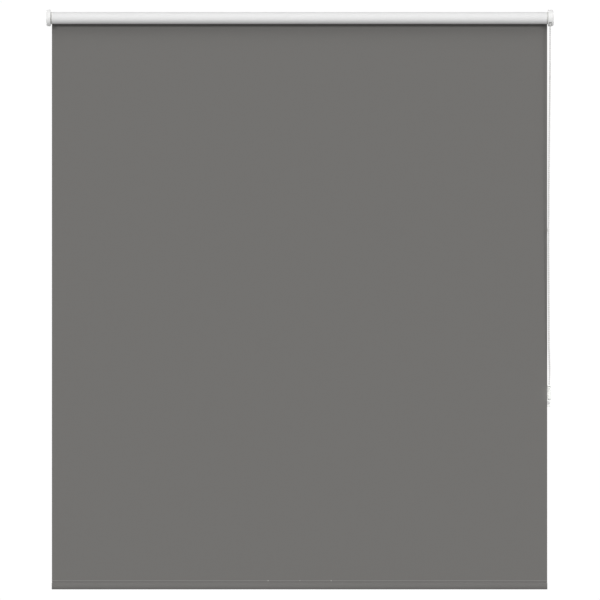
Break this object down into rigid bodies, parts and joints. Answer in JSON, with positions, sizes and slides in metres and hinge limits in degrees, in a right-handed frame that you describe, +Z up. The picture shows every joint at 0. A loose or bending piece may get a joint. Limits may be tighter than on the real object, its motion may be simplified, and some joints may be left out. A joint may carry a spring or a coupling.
{
  "type": "roller blind",
  "caption": "Wall-mounted roller blind: grey cloth on a tube between round-capped brackets, with bead-chain drive, hem bar and chain tensioner.",
  "frame": {"origin": "centre of the four wall-screw holes, on the wall plane", "axes": "+X along the roller towards the chain end, +Y into the wall, +Z up; the room is towards -Y"},
  "size_m": [1.4, 0.055, 1.599],
  "materials": {
    "powder_white": "white powder coat, fine orange peel",
    "cover_white": "moulded ABS, satin gloss",
    "cap_grey": "moulded plastic in the cloth's grey",
    "nylon_white": "moulded nylon",
    "zinc_steel": "zinc-plated",
    "spring_steel": "oiled or blackened steel",
    "tube_aluminium": "extruded, mill finish",
    "bar_aluminium": "extruded, mill finish",
    "cloth_grey": "fine plain-weave blackout cloth",
    "cloth_white": "white coated reverse of the cloth",
    "tape": "double-sided adhesive tape",
    "chain_white": "moulded beads on polyester cord",
    "clear_plastic": "clear polycarbonate"
  },
  "bodies": {
    "frame": {"idle_bracket": "powder_white", "idle_bracket_cover": "cover_white", "idle_bushing": "nylon_white", "drive_bracket": "powder_white", "drive_bracket_cover": "cover_white", "clutch_housing": "nylon_white", "chain_guard": "nylon_white", "clutch_spindle": "zinc_steel", "clutch_screw": "zinc_steel", "spindle_washer": "zinc_steel", "spindle_screw": "zinc_steel", "chain_over_wheel": "chain_white", "bead_chain": "chain_white", "chain_connector": "chain_white", "tensioner_body": "clear_plastic", "tensioner_cover": "clear_plastic", "tensioner_eyelet": "spring_steel", "fabric_sheet": "cloth_grey"},
    "roller": {"roller_tube": "tube_aluminium", "fabric_tape": "tape", "fabric_roll": "cloth_white", "idle_plug": "nylon_white", "idle_plug_cap": "nylon_white", "drive_hub": "nylon_white", "wrap_springs": "spring_steel"},
    "idle_pin": {"idle_pin": "zinc_steel", "idle_pin_spring": "spring_steel"},
    "chain_wheel": {"chain_wheel": "nylon_white"},
    "bottom_rail": {"hem_pocket": "cloth_grey", "bottom_bar": "bar_aluminium", "bar_cap_left": "cap_grey", "bar_cap_right": "cap_grey"}
  },
  "joints": [
    {"name": "roller_spin", "type": "hinge", "parent": "frame", "child": "roller", "pos_m": [0, -0.032, 0], "axis": [1, 0, 0], "range_deg": [0, 4500]},
    {"name": "chain_wheel_spin", "type": "hinge", "parent": "frame", "child": "chain_wheel", "pos_m": [0, -0.032, 0], "axis": [1, 0, 0], "range_deg": [0, 4501], "deforming": ["chain_over_wheel"]},
    {"name": "blind_travel", "type": "slide", "parent": "frame", "child": "bottom_rail", "axis": [0, 0, 1], "range_m": [0, 1.5005], "deforming": ["fabric_sheet"]},
    {"name": "idle_pin_slide", "type": "slide", "parent": "roller", "child": "idle_pin", "axis": [1, 0, 0], "range_m": [0, 0.007], "stiffness_N_per_m": 400, "springref_m": -0.004, "deforming": ["idle_pin_spring"]}
  ],
  "couplings": [
    {"joint": "chain_wheel_spin", "follows": "roller_spin", "ratio": 1},
    {"joint": "blind_travel", "follows": "roller_spin", "m_per_rad": 0.019099}
  ]
}
